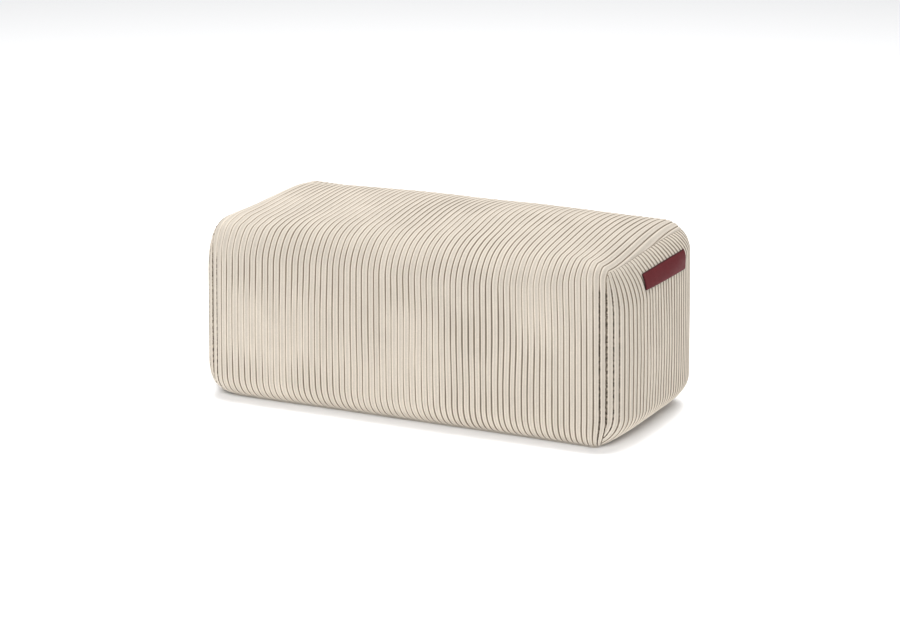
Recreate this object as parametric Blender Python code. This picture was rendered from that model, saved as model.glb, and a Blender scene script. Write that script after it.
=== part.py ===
"""A bean bag footstool: a soft filled block in wide-wale corduroy.

One corduroy panel runs up the front, over the top and down the back. An end panel closes
each side, a plain cloth panel closes the underside, and a leather label is sewn to the
right end. +X is the length, the front faces -Y, and the stool stands on z = 0.
Run it with blender --background --python part.py, or from the text editor.
"""

import math

import bpy
import numpy as np

# Driving dimensions, in metres.
HALF_LENGTH = 0.353        # centre to the fullest point of an end
HALF_DEPTH = 0.157         # centre to the front, before it fills out
EDGE_HEIGHT = 0.2785       # floor to the top panel's edges, before the crown
END_ROUND = 0.050          # radius on which the wrap turns into the end panels
END_TOP_ROUND = 0.074      # the same over the top, where it falls further to its seam
END_BACK_ROUND = 0.030     # the end panel is fuller near the back of its top seam
END_RISE = 0.0255          # how far it stands out of its seams' plane
END_SIDE_REACH = 0.100     # depth over which it swells from its upright seams
END_SIDE_POWER = 0.42
SEAM_ANGLE = math.radians(33.5)   # how far round that radius the end seams lie
TOP_ROUND = 0.052          # long top edges, at mid length
FRONT_CORNER_ROUND = 0.015  # the same edges where the end seams pin them
BACK_CORNER_ROUND = 0.012
FOOT_ROUND = 0.046         # long bottom edges, at mid length
FOOT_ROUND_AT_SEAM = 0.038
BASE_SEAM_ANGLE = math.radians(75)  # how far under the foot the base seam lies
BASE_SEAM_HEIGHT = 0.0034

# How the filling pushes the cloth out of the plain block.
CROWN = 0.0215
CROWN_PEAK = 0.080         # its highest place along the length
CROWN_AT_SEAM = (0.0025, 0.0055)  # left and right
CROWN_TILT = 0.012         # it is fuller towards the back
TILT_LOSS = 0.55           # share of that lost by the right end's seam
CROWN_REACH = (1.74, 2.8)  # powers of its fall to the left and the right
CROWN_BOX = (4.0, 2.0)     # powers of its section, at the left end and from the middle on
BOX_FROM = 0.7             # share of the way to the left seam where the crown is boxiest
TILT_REACH = 3.0           # power of the tilt's loss to the right
END_HOLD = 4.0             # power by which the end seams hold the cloth back
FRONT_FULLNESS = 0.004
END_FULLNESS = 0.006
FOOT_DRAW_IN = 0.018       # how far the ends pull in at the floor
FOOT_DRAW_HEIGHT = 0.052
FOOT_CORNER_HOLD = (1.2, 0.20)  # how far the left and right corners keep from drawing in
FOOT_PINCH = 0.0125        # the right end's foot draws in further, from its seams on
FOOT_PINCH_REACH = 0.030
LEFT_FOOT_TURN = 0.014     # how far the front left corner of the foot is drawn back
LEFT_FOOT_REACH = 8.0      # power by which that fades away from the corner
CORNER_LIFT = 0.008        # the top corner at the front right stands up
CORNER_REACH = 8.0         # power by which that lift fades away from the corner
LEFT_LIFT = 0.0072         # the left end's top seam stands up too, most towards the front
LEFT_LIFT_REACH = (14.0, 1.5)  # powers of that lift along and across
LEFT_DROP = 0.045          # the front top edge falls away towards the left end
LEFT_DROP_REACH = (3.0, 7.0)   # powers of that fall along and across
SPREAD = 0.012             # the block settles wider at the floor than at the top
SPREAD_LEVEL = 0.4
LUMP_SIDE = 0.0012         # soft unevenness of front and back
LUMP_TOP = 0.0015

# Corduroy. A wale is one raised cord, with a groove on each side.
WRAP_WALES = 67
END_WALES = 31
WALE_DRIFT = 0.03          # the wrap's wales lie a little wider towards the left end
GROOVE_DEPTH = 0.0024
CLOTH_THICKNESS = 0.0030
SEAM_EDGE = 0.0010         # thickness of an end panel at its seam
PIECE_GAP = 0.0004

# Steps along the half outline of the wrap, from the base seam to the middle of the top.
FOOT_STEPS = 4
FACE_STEPS = 3
EDGE_STEPS = 4
TOP_STEPS = 3

# Rows of the end panels, as shares of the height between their seams.
END_ROWS = (0.0, 0.03, 0.09, 0.18, 0.40, 0.62, 0.80, 0.91, 0.97, 1.0)

# The filled body's closed faces behind the end panels: share of the outline, step along X.
CAP_LOOPS = ((0.985, -0.002), (0.93, -0.0012), (0.72, 0.002), (0.35, 0.009))
CAP_CENTRE_STEP = 0.011
CAP_CENTRE_HEIGHT = 0.140

# The filled body's underside: inset from the base seam, height above the seam.
HOLLOW_INSET = 0.0015
HOLLOW_RISE = 0.0034
UNDERSIDE_INSET = 0.018
UNDERSIDE_HEIGHT = 0.0030
UNDERSIDE_SHARE = 0.996    # of the length, so that the end panels' lower edges clear it

# The base panel's outer face, from its seam to the flat: inset, height.
BASE_LOOPS = ((0.0, 0.0034), (0.0004, 0.0016), (0.0020, 0.0004), (0.0060, 0.0))
BASE_THICKNESS = 0.0018
BASE_SIDE_STEPS = 22
BASE_END_STEPS = 8

# The label, on the right end near its top seam.
LABEL_BACK = 0.084
LABEL_FRONT = -0.066
LABEL_HEIGHT = 0.2366      # floor to its middle
LABEL_TILT = -0.0012       # how much higher its back end lies than its middle
LABEL_HALF = 0.0121        # half its own height
LABEL_SLANT = 0.0035       # how far its top edge lies further back than its middle
LABEL_FLARE = 0.12         # it is cut a little taller towards the back
LABEL_THICKNESS = 0.0016
LABEL_STEPS = 20
LABEL_ROWS = 4

SEAM_X = HALF_LENGTH - END_FULLNESS - END_RISE
SEAM_START = SEAM_X - END_ROUND * math.sin(SEAM_ANGLE)
SEAM_ARC = END_ROUND * SEAM_ANGLE

COLLECTION_NAME = "bean_bag_footstool"


def clear_scene():
    for obj in list(bpy.data.objects):
        bpy.data.objects.remove(obj, do_unlink=True)


def outline_half(step, half_depth, height, top_round, foot_round):
    """Half depth and height at a step: 0-1 foot arc, 1-2 face, 2-3 top edge arc, 3-4 top."""
    foot = BASE_SEAM_ANGLE * (1 - np.clip(step, 0, 1))
    face = np.clip(step - 1, 0, 1)
    edge = np.clip(step - 2, 0, 1) * math.pi / 2
    top = np.clip(step - 3, 0, 1)
    y = half_depth - foot_round * (1 - np.cos(foot))
    y = (y - top_round * (1 - np.cos(edge))) * (1 - top)
    ankle = BASE_SEAM_HEIGHT + foot_round * math.sin(BASE_SEAM_ANGLE)
    z = ankle - foot_round * np.sin(foot)
    z = z + face * (height - top_round - ankle) + top_round * np.sin(edge)
    return y, z


def outline_steps():
    """The steps of a half outline, from the base seam to the middle of the top."""
    foot = np.linspace(0, 1, FOOT_STEPS + 1)
    face = np.linspace(1, 2, FACE_STEPS + 1)
    edge = np.linspace(2, 3, EDGE_STEPS + 1)
    top = np.linspace(3, 4, TOP_STEPS + 1)
    return np.concatenate([foot, face[1:], edge[1:], top[1:]])


def wrap_surface():
    """Points [across the wales, along the wales, xyz] on the crests of the wrap's wales.

    Past SEAM_START every outline shrinks by the drop of the end rounding. Towards the
    seams its top and bottom edges tighten to the radius that the seam gives them."""
    even = np.linspace(-1, 1, 2 * WRAP_WALES + 1)[:, None]
    across = even + WALE_DRIFT * (1 - even**2)
    half = outline_steps()
    steps = np.concatenate([half, 8 - half[-2::-1]])[None, :]
    run = np.abs(across) * (SEAM_START + SEAM_ARC)
    turn = np.clip((run - SEAM_START) / END_ROUND, 0, SEAM_ANGLE)
    x = np.sign(across) * (np.minimum(run, SEAM_START) + END_ROUND * np.sin(turn))
    depth = HALF_DEPTH - END_ROUND * (1 - np.cos(turn))
    height = EDGE_HEIGHT - END_TOP_ROUND * (1 - np.cos(turn))
    loose = 1 - across**4
    corner_round = np.where(steps > 4, BACK_CORNER_ROUND, FRONT_CORNER_ROUND)
    top_round = corner_round + (TOP_ROUND - corner_round) * loose
    foot_round = FOOT_ROUND_AT_SEAM + (FOOT_ROUND - FOOT_ROUND_AT_SEAM) * loose
    half_step = np.minimum(steps, 8 - steps)
    y, z = outline_half(half_step, depth, height, top_round, foot_round)
    return np.stack(np.broadcast_arrays(x, np.sign(steps - 4) * y, z), axis=-1)


def unit_normals(grid):
    """Unit normals of a grid of points, from its differences both ways."""
    along = np.gradient(grid, axis=1)
    across = np.gradient(grid, axis=0)
    normals = np.cross(across, along)
    return normals / np.linalg.norm(normals, axis=-1, keepdims=True)


def wrap_with_grooves():
    """The wrap with every second line of points sunk into a groove, and its seams too,
    which each lie in a plane."""
    crests = wrap_surface()
    sink = np.zeros(crests.shape[:2])
    sink[::2] = GROOVE_DEPTH
    sink[:, [0, -1]] = GROOVE_DEPTH
    points = crests - sink[..., None] * unit_normals(crests)
    points[[0, -1], :, 0] = points[[0, -1], :, 0].mean(axis=1, keepdims=True)
    return points


def fill_out(points):
    """Pushes the plain block out as the filling does: crown, full sides, drawn-in foot."""
    x, y, z = np.moveaxis(points, -1, 0)
    rise = np.clip(z / EDGE_HEIGHT, 0, 1)
    middle = 1 - np.clip(np.abs(x) / SEAM_X, 0, 1) ** END_HOLD
    depth = np.clip(1 - (y / HALF_DEPTH) ** 2, 0, 1)
    upright = np.sin(math.pi * rise)
    at_end = (np.abs(x) / HALF_LENGTH) ** END_HOLD
    low = np.clip(1 - z / FOOT_DRAW_HEIGHT, 0, 1) ** 2
    far = np.abs(x - CROWN_PEAK) / (SEAM_X + np.where(x < CROWN_PEAK, 1, -1) * CROWN_PEAK)
    at_seam = np.where(x < CROWN_PEAK, *CROWN_AT_SEAM)
    fall = np.clip(far, 0, 1) ** np.where(x < CROWN_PEAK, *CROWN_REACH)
    box = CROWN_BOX[1] + (CROWN_BOX[0] - CROWN_BOX[1]) * np.clip(-x / SEAM_X / BOX_FROM, 0, 1)
    section = 1 - np.clip(np.abs(y) / HALF_DEPTH, 0, 1) ** box
    tilt = CROWN_TILT * (1 - TILT_LOSS * np.clip(x / SEAM_X, 0, 1) ** TILT_REACH)
    crown = (CROWN + (at_seam - CROWN) * fall) * section + tilt * depth * y / HALF_DEPTH
    crown = crown + LUMP_TOP * np.sin(11 * x + 1.0) * np.sin(13 * y + 2.0)
    right, left = np.clip(x / SEAM_X, 0, 1), np.clip(-x / SEAM_X, 0, 1)
    ahead = np.clip(-y / HALF_DEPTH, 0, 1)
    corner = CORNER_LIFT * (right * ahead) ** CORNER_REACH
    lift_share = np.clip(1 - y / HALF_DEPTH, 0, 2) ** LEFT_LIFT_REACH[1]
    corner = corner + LEFT_LIFT * left ** LEFT_LIFT_REACH[0] * lift_share
    corner = corner - LEFT_DROP * left ** LEFT_DROP_REACH[0] * ahead ** LEFT_DROP_REACH[1]
    front = FRONT_FULLNESS * middle + LUMP_SIDE * np.sin(17 * x + 0.6) * middle
    push_y = front * upright * np.clip(np.abs(y) / HALF_DEPTH, 0, 1)
    turn = LEFT_FOOT_TURN * low * left**LEFT_FOOT_REACH * ahead
    hold = 1 - np.where(x < 0, *FOOT_CORNER_HOLD) * np.clip(y / HALF_DEPTH, -1, 1) ** 2
    push_x = END_FULLNESS * np.sqrt(upright) * depth - FOOT_DRAW_IN * low * hold
    pinch = FOOT_PINCH * low * np.clip(1 - (SEAM_X - x) / FOOT_PINCH_REACH, 0, 1) ** 2
    return np.stack(
        [
            x * (1 + SPREAD * (SPREAD_LEVEL - rise)) + np.sign(x) * push_x * at_end - pinch,
            y + np.sign(y) * push_y + turn,
            z + (crown + corner) * rise**2,
        ],
        axis=-1,
    )


def closed_tube_faces(columns, rows):
    """Quads of a tube: columns follow each other along it, rows go round it."""
    column, row = np.meshgrid(np.arange(columns - 1), np.arange(rows), indexing="ij")
    near = column * rows
    far = near + rows
    after = (row + 1) % rows
    quads = np.stack([near + row, far + row, far + after, near + after], axis=-1)
    return quads.reshape(-1, 4).tolist()


def loop_faces(outer, inner, turned):
    """Quads between two loops of point numbers of the same length."""
    count = len(outer)
    quads = []
    for i in range(count):
        j = (i + 1) % count
        quad = (outer[i], outer[j], inner[j], inner[i])
        quads.append(quad[::-1] if turned else quad)
    return quads


def body_rings():
    """The filled body's outlines, one for each line of the wrap, closed underneath."""
    wrap = wrap_with_grooves()
    front, back = wrap[:, 0], wrap[:, -1]
    half = np.abs(front[:, 1])
    inner = half - HOLLOW_INSET
    flat = half - UNDERSIDE_INSET
    x = back[:, 0] * UNDERSIDE_SHARE
    hollow = front[:, 2] + HOLLOW_RISE
    near_end = np.clip(1 - (x.max() - np.abs(x)) / UNDERSIDE_INSET, 0, 1)
    under_height = UNDERSIDE_HEIGHT + (hollow - UNDERSIDE_HEIGHT) * near_end
    stations = (
        (inner, hollow),
        (flat, under_height),
        (flat / 3, under_height),
        (-flat / 3, under_height),
        (-flat, under_height),
        (-inner, hollow),
    )
    under = [np.stack(np.broadcast_arrays(x, y, z), axis=-1) for y, z in stations]
    return np.concatenate([wrap, np.stack(under, axis=1)], axis=1)


def filled_body_mesh():
    """The wrap's rings as a tube, closed by a low dome behind each end panel."""
    rings = body_rings()
    columns, rows = rings.shape[:2]
    points = [rings.reshape(-1, 3)]
    faces = closed_tube_faces(columns, rows)
    count = columns * rows
    for side, column in ((-1, 0), (1, columns - 1)):
        outer = [column * rows + row for row in range(rows)]
        ring = rings[column]
        centre = np.array((0.0, 0.0, CAP_CENTRE_HEIGHT))
        for share, step in CAP_LOOPS:
            loop = centre + (ring - centre) * (1, share, share)
            loop[:, 0] = ring[:, 0] + side * step
            points.append(loop)
            inner = list(range(count, count + rows))
            faces += loop_faces(outer, inner, turned=side > 0)
            outer = inner
            count += rows
        tip = (ring[0, 0] + side * CAP_CENTRE_STEP, 0.0, CAP_CENTRE_HEIGHT)
        points.append(np.array([tip]))
        for i in range(rows):
            fan = (outer[i], outer[(i + 1) % rows], count)
            faces.append(fan[::-1] if side > 0 else fan)
        count += 1
    return fill_out(np.concatenate(points)), faces


def rounding(inset, radius, start):
    """Share of a rounding reached at this inset from its seam, which lies at angle start."""
    cosine = np.clip(math.cos(start) - inset / radius, 0, 1)
    return (np.sqrt(1 - cosine**2) - math.sin(start)) / (1 - math.sin(start))


def end_outline():
    """Half depth, and the heights of the seam above and below it, of an end panel."""
    ring = wrap_with_grooves()[-1]
    half = ring[: len(ring) // 2 + 1]
    widest = int(np.argmin(half[:, 1]))
    under = half[: FOOT_STEPS + 1]
    edge = FOOT_STEPS + FACE_STEPS
    over = ring[edge : len(ring) - edge]
    return ring[widest, 0], -half[:, 1].min(), under, over


def end_rise(y, z):
    """How far the end stands out of its seams' plane, at depth y and height z."""
    _, half, under, over = end_outline()
    top = np.interp(y, over[:, 1], over[:, 2])
    bottom = np.interp(np.abs(y), -under[:, 1], under[:, 2], left=under[0, 2])
    backward = np.clip(0.5 + y / (2 * half), 0, 1)
    backward = backward * backward * (3 - 2 * backward)
    head_round = END_TOP_ROUND + (END_BACK_ROUND - END_TOP_ROUND) * backward
    inward = np.clip((half - np.abs(y)) / END_SIDE_REACH, 0, 1)
    sides = (1 - (1 - inward) ** 2) ** END_SIDE_POWER
    head = rounding(top - z, head_round, SEAM_ANGLE)
    foot = rounding(z - bottom, FOOT_ROUND, math.pi / 2 - BASE_SEAM_ANGLE)
    return END_RISE * sides * head * foot


def even_depths(count):
    """Depths whose distances over the end's rounded face are all the same."""
    _, half, _, _ = end_outline()
    fine = np.linspace(-half, half, 801)
    height = np.full_like(fine, CAP_CENTRE_HEIGHT)
    stretch = np.hypot(np.diff(fine), np.diff(end_rise(fine, height)))
    length = np.concatenate([[0], np.cumsum(stretch)])
    return np.interp(np.linspace(0, length[-1], count), length, fine)


def sheet_mesh(outer, inner):
    """A closed sheet between two grids of points of the same shape."""
    columns, rows = outer.shape[:2]
    column, row = np.meshgrid(np.arange(columns - 1), np.arange(rows - 1), indexing="ij")
    corner = column * rows + row
    quads = np.stack([corner, corner + rows, corner + rows + 1, corner + 1], axis=-1)
    quads = quads.reshape(-1, 4)
    shift = columns * rows
    left = np.arange(rows)
    right = left + (columns - 1) * rows
    low = np.arange(columns) * rows
    high = low + rows - 1
    rim = np.concatenate([low[:-1], right[:-1], high[:0:-1], left[:0:-1]])
    after = np.roll(rim, -1)
    walls = np.stack([rim, rim + shift, after + shift, after], axis=-1)
    faces = quads.tolist() + (quads[:, ::-1] + shift).tolist() + walls.tolist()
    return np.concatenate([outer.reshape(-1, 3), inner.reshape(-1, 3)]), faces


def end_panel_mesh(side):
    """An end panel: its wales run from the base seam to the top seam and die at both."""
    seam_x, half, under, over = end_outline()
    y = even_depths(2 * END_WALES + 1)[:, None]
    top = np.interp(y, over[:, 1], over[:, 2])
    bottom = np.interp(np.abs(y), -under[:, 1], under[:, 2], left=under[0, 2])
    z = bottom + (top - bottom) * np.array(END_ROWS)
    y, z = np.broadcast_arrays(y, z)
    rise = end_rise(y, z)
    sink = np.zeros(y.shape)
    sink[::2] = GROOVE_DEPTH
    plane = seam_x + PIECE_GAP
    outer = np.maximum(plane + SEAM_EDGE, plane + rise + SEAM_EDGE - sink)
    inner = np.maximum(plane, plane + rise - GROOVE_DEPTH - CLOTH_THICKNESS)
    outer[:, [0, -1]] = plane + SEAM_EDGE
    outer = np.stack([outer, y, z], axis=-1)
    inner = np.stack([inner, y, z], axis=-1)
    if side < 0:
        outer, inner = (grid[::-1] * (-1, 1, 1) for grid in (outer, inner))
    points, faces = sheet_mesh(outer, inner)
    return fill_out(points), faces


def base_panel_mesh():
    """The base panel: a shallow dish whose rolled edge meets the corduroy at the seam."""
    wrap = wrap_with_grooves()
    front = wrap[:, 0]
    pick = np.linspace(0, len(front) - 1, BASE_SIDE_STEPS + 1).round().astype(int)
    side = front[pick, :2]
    half = -side[-1, 1]
    steps = np.linspace(-half, half, BASE_END_STEPS + 1)[1:-1]
    end = np.stack([np.full_like(steps, side[-1, 0]), steps], axis=-1)
    outline = np.concatenate([side, end, -side, -end])
    reach = np.abs(outline).max(axis=0)
    loops = []
    for lift in (0.0, BASE_THICKNESS):
        for inset, height in BASE_LOOPS:
            ring = outline * (1 - (inset + lift) / reach)
            loops.append(np.column_stack([ring, np.full(len(ring), height + lift)]))
    count = len(outline)
    levels = len(BASE_LOOPS)
    numbers = [list(range(k * count, (k + 1) * count)) for k in range(2 * levels)]
    outer, inner = numbers[:levels], numbers[levels:]
    faces = []
    for k in range(levels - 1):
        faces += loop_faces(outer[k], outer[k + 1], turned=True)
        faces += loop_faces(inner[k], inner[k + 1], turned=False)
    faces += loop_faces(outer[0], inner[0], turned=False)
    faces.append(outer[-1][::-1])
    faces.append(inner[-1])
    return fill_out(np.concatenate(loops)), faces


def label_mesh():
    """The label: a leather strip that lies on the crests of the right end panel."""
    seam_x = end_outline()[0]
    u = np.linspace(-1, 1, LABEL_STEPS + 1)[:, None]
    v = np.linspace(-1, 1, LABEL_ROWS + 1)[None, :]
    y = (LABEL_BACK + LABEL_FRONT) / 2 + u * (LABEL_BACK - LABEL_FRONT) / 2 + v * LABEL_SLANT
    z = LABEL_HEIGHT + u * LABEL_TILT + v * LABEL_HALF * (1 + LABEL_FLARE * u)
    y, z = np.broadcast_arrays(y, z)
    inner = seam_x + end_rise(y, z) + SEAM_EDGE + 2 * PIECE_GAP
    outer = inner + LABEL_THICKNESS
    grids = (np.stack([x, y, z], axis=-1) for x in (outer, inner))
    points, faces = sheet_mesh(*grids)
    return fill_out(points), faces


def plain_material(name, colour, roughness):
    material = bpy.data.materials.new(name)
    material.use_nodes = True
    shader = material.node_tree.nodes["Principled BSDF"]
    shader.inputs["Base Color"].default_value = (*colour, 1.0)
    shader.inputs["Roughness"].default_value = roughness
    shader.inputs["Metallic"].default_value = 0.0
    return material


def corduroy_material():
    return plain_material("cream_corduroy", (0.71, 0.62, 0.50), 0.95)


def base_cloth_material():
    return plain_material("plain_base_cloth", (0.66, 0.60, 0.50), 0.95)


def leather_material():
    return plain_material("burgundy_leather", (0.16, 0.03, 0.04), 0.55)


def add_piece(name, mesh_data, material, collection):
    points, faces = mesh_data
    mesh = bpy.data.meshes.new(name)
    mesh.from_pydata(points.tolist(), [], faces)
    mesh.validate()
    mesh.shade_smooth()
    mesh.materials.append(material)
    piece = bpy.data.objects.new(name, mesh)
    collection.objects.link(piece)
    return piece


def main():
    clear_scene()
    collection = bpy.data.collections.new(COLLECTION_NAME)
    bpy.context.scene.collection.children.link(collection)
    corduroy = corduroy_material()
    add_piece("filled_body", filled_body_mesh(), corduroy, collection)
    add_piece("end_panel_right", end_panel_mesh(1), corduroy, collection)
    add_piece("end_panel_left", end_panel_mesh(-1), corduroy, collection)
    add_piece("base_panel", base_panel_mesh(), base_cloth_material(), collection)
    label = add_piece("label", label_mesh(), leather_material(), collection)
    label.data.set_sharp_from_angle(angle=math.radians(40))


main()
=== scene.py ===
"""Looks of a bean bag footstool: a soft filled block in cream wide-wale corduroy.

The wrap runs up the front, over the top and down the back. An end cover with upright cords
closes each side, a plain base cloth rolls in under the foot, and a bare leather label lies
on the right end. +X is the length, the front faces -Y and the floor is z = 0, in metres.
"""

import itertools
import math

import bpy
import numpy as np
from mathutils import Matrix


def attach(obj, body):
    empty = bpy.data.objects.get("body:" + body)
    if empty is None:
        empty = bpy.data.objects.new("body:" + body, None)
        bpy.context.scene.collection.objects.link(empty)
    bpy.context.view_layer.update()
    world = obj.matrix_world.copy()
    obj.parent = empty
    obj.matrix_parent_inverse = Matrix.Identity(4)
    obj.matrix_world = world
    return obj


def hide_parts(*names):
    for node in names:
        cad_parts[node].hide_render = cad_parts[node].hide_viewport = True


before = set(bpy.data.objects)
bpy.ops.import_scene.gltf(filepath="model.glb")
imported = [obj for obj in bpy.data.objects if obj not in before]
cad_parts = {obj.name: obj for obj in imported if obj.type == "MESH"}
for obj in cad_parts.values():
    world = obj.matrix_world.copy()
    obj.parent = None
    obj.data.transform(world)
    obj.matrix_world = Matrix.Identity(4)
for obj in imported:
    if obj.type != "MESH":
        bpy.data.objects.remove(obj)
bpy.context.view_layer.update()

# The filled block, as its solids have it.
END_FULLNESS = 0.006
END_ROUND = 0.050          # radius on which the wrap turns into the end covers
END_TOP_ROUND = 0.074      # the same over the top, where it falls further to its seam
END_BACK_ROUND = 0.030     # the end cover is fuller near the back of its top seam
END_RISE = 0.0255          # how far it stands out of its seams' plane
END_SIDE_REACH = 0.100     # depth over which it swells from its upright seams
END_SIDE_POWER = 0.42
SEAM_ANGLE = math.radians(33.5)
HALF_LENGTH = 0.353
HALF_DEPTH = 0.157
EDGE_HEIGHT = 0.2785       # floor to the edges of the top, before its crown
TOP_ROUND = 0.052          # long top edges, at mid length
FRONT_CORNER_ROUND = 0.015  # the same edges where the end seams pin them
BACK_CORNER_ROUND = 0.012
FOOT_ROUND = 0.046
FOOT_ROUND_AT_SEAM = 0.038
BASE_SEAM_ANGLE = math.radians(75)
BASE_SEAM_HEIGHT = 0.0034

# How the filling pushes the cloth out.
CROWN = 0.0215
CROWN_PEAK = 0.080         # its highest place along the length
CROWN_AT_SEAM = (0.0025, 0.0055)  # left and right
CROWN_TILT = 0.012         # it is fuller towards the back
TILT_LOSS = 0.55           # share of that lost by the right end's seam
CROWN_REACH = (1.74, 2.8)  # powers of its fall to the left and the right
CROWN_BOX = (4.0, 2.0)     # powers of its section, at the left end and from the middle on
BOX_FROM = 0.7             # share of the way to the left seam where the crown is boxiest
TILT_REACH = 3.0           # power of the tilt's loss to the right
END_HOLD = 4.0             # power by which the end seams hold the cloth back
FRONT_FULLNESS = 0.004
FOOT_DRAW_IN = 0.018
FOOT_DRAW_HEIGHT = 0.052
FOOT_CORNER_HOLD = (1.2, 0.20)  # how far the left and right corners keep from drawing in
FOOT_PINCH = 0.0125        # the right end's foot draws in further, from its seams on
FOOT_PINCH_REACH = 0.030
LEFT_FOOT_TURN = 0.014     # how far the front left corner of the foot is drawn back
LEFT_FOOT_REACH = 8.0      # power by which that fades away from the corner
CORNER_LIFT = 0.008        # the top corner at the front right stands up
CORNER_REACH = 8.0         # power by which that lift fades away from the corner
LEFT_LIFT = 0.0072         # the left end's top seam stands up too, most towards the front
LEFT_LIFT_REACH = (14.0, 1.5)  # powers of that lift along and across
LEFT_DROP = 0.045          # the front top edge falls away towards the left end
LEFT_DROP_REACH = (3.0, 7.0)   # powers of that fall along and across
SPREAD = 0.012             # the block settles wider at the floor than at the top
SPREAD_LEVEL = 0.4
LUMP_SIDE = 0.0012         # soft unevenness of front and back
LUMP_TOP = 0.0015
LUMP_SIDE_WAVE = (17, 0.6)  # radians to a metre, and at the middle
LUMP_TOP_WAVES = ((11, 1.0), (13, 2.0))  # the same along and across
EDGE_HOLD = 4              # power by which the end seams tighten the long edges

# Corduroy: cords of pile with a narrow groove on each side.
WRAP_WALES = 67
END_WALES = 31
EXTRA_WALES = 2            # cords that come out of the right end's seam towards the back
WALE_DRIFT = 0.03          # the wrap's cords lie a little wider towards the left end
SKEW = 1.95                # drift of the cords to the left over the top, in wales
SKEW_AT_FRONT = 0.05
SKEW_STEPS = (2.4, 3.4)    # step of the outline from which it grows, and over how many
SKEW_REACH = 2.5           # power by which it fades away from the right end
SEAM_LIP = 0.35            # width over which a cord sinks into the end seam, in wales
HIDDEN_STEP = 0.01         # width of a cord that is still behind the seam
CORD_COLUMNS = (0.0, 0.05, 0.13, 0.28, 0.5, 0.72, 0.87, 0.95)
CORD_DEPTH = 0.0028
CORD_FLATNESS = 3.0        # powers of the cord's section
CORD_ROUNDNESS = 0.50
END_CORD_DEPTH = 0.0019    # the end's cords stand further apart and less deep
END_CORD_FLATNESS = 2.2
END_CORD_ROUNDNESS = 0.8
CORD_UNEVEN = 0.07         # how far a groove strays from its even place, in wales
CORD_SWAY = 0.16           # how far a cord sways along its run, in wales
SWAY_SIZE = 0.085
SWAY_HOLD = 8              # power by which the end seams stop that sway
SWAY_SEED, WRAP_SEED, END_SEED = 3, 5, 21

# Rows of points along the half outline of the wrap: foot, face, top edge, top.
ROWS = (13, 33, 20, 18)
FOOT_CROWDING = 1.4        # rows lie closer together towards the base seam

SEAM_DEPTH = 0.0012        # how deep the end seams lie
SEAM_DEPTH_ON_TOP = 0.0008
UPRIGHT_STEPS = 1.2        # steps from the middle of the top over which they are that shallow

# The front and back top edges run out softly: how much, at which depth and how far round it.
EDGE_EASE = 0.0018
EDGE_PLACE = 0.117
EDGE_WIDTH = 0.014
EASE_TO = (0.28, 0.1)      # it ends here along the length, after fading over so much
EASE_ABOVE = (0.2, 0.05)   # it starts at this height and is full so much above it

# How much wider the grooves' painted shade is drawn, as a share, and where.
SEAM_CLOSE = -0.9          # in the groove at an end seam
OPEN_NEXT = 0.4            # in the wrap's groove next to it
NEXT_WIDTH = 0.45          # how far round that groove, in wales
OPEN_END = 1.2             # in the other grooves of an end
OPEN_ON_TOP = 0.42         # more over the top, from this height and over so much
ON_TOP = (0.262, 0.016)
OPEN_AT_FOOT = 0.5         # more at the foot, below this height and over so much
AT_FOOT = (0.1, 0.05)
OPEN_TO_RIGHT = 0.6        # more on the right half, over so much from the middle
TO_RIGHT = 0.15
OPEN_TO_BACK = 1.5         # more towards the back of an end, from this depth and over so much
TO_BACK = (-0.12, 0.25)
OPEN_LOSS = 0.9            # less over the top within so many wales of the end seams
LOSS_REACH = 2.5
GAPE_BELOW = (0.252, 0.02)  # painted shade in the upright seams' gaping grooves, below this height
GAPE_REACH = 1.5           # over so many wales of the wrap
END_GAPE_REACH = 2.2       # and of an end

# The base seam, and the cloth itself.
BASE_SEAM_DIP = 0.0024
BASE_SEAM_REACH = 0.0035   # how far above the base seam the cords are pinched
CLOTH_THICKNESS = 0.0030
SEAM_EDGE = 0.0010         # thickness of an end cover at its seam
PIECE_GAP = 0.0004

# Softness of the filling under the cloth, normal to it.
SOFT_FOLDS = ((0.110, 0.0008, 11), (0.052, 0.0005, 12), (0.027, 0.0002, 13))
FOLD_MARGIN = 0.035        # the seams hold the cloth still within this distance

# The domes behind the end covers: share of the outline, step along the length.
CAP_LOOPS = ((0.985, -0.002), (0.93, -0.0012), (0.72, 0.002), (0.35, 0.009))
CAP_CENTRE_STEP = 0.011
CAP_CENTRE_HEIGHT = 0.140

# The end covers' rows, and the strip above their cords.
END_ROW_COUNT = 84
END_ROW_CROWDING = 0.65    # how much closer together they lie towards both seams
FINE_STEPS = 1601          # steps with which an end's rounded face is measured
END_STRIP = 0.0042         # smooth strip along the top seam, where the cords die out
END_STRIP_FADE = 0.0028

# The filled body's underside, which the base cloth covers.
HOLLOW_INSET = 0.0015
UNDERSIDE_RISE = 0.0034
UNDERSIDE_INSET = 0.018
UNDERSIDE_HEIGHT = 0.0030
UNDERSIDE_SHARE = 0.996    # of the length, so that the end covers' lower edges clear it

# The base cloth's rolled edge: inset from its seam, height. Then its flat, in shares.
BASE_PROFILE = ((0.0, 0.0038), (-0.0009, 0.0029), (-0.0006, 0.0015), (0.0007, 0.0005),
                (0.0030, 0.0))
BASE_FLAT_LOOPS = (0.75, 0.5, 0.25)
BASE_THICKNESS = 0.0018
BASE_EVERY = 4             # it has a point for every fourth column of the wrap
BASE_END_STEPS = 60
BASE_PUCKER = 0.0003       # how far its edge puckers, how long a pucker is and how high up
PUCKER_SIZE = 0.007
PUCKER_HEIGHT = 0.003
PUCKER_SEED = 31

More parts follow.
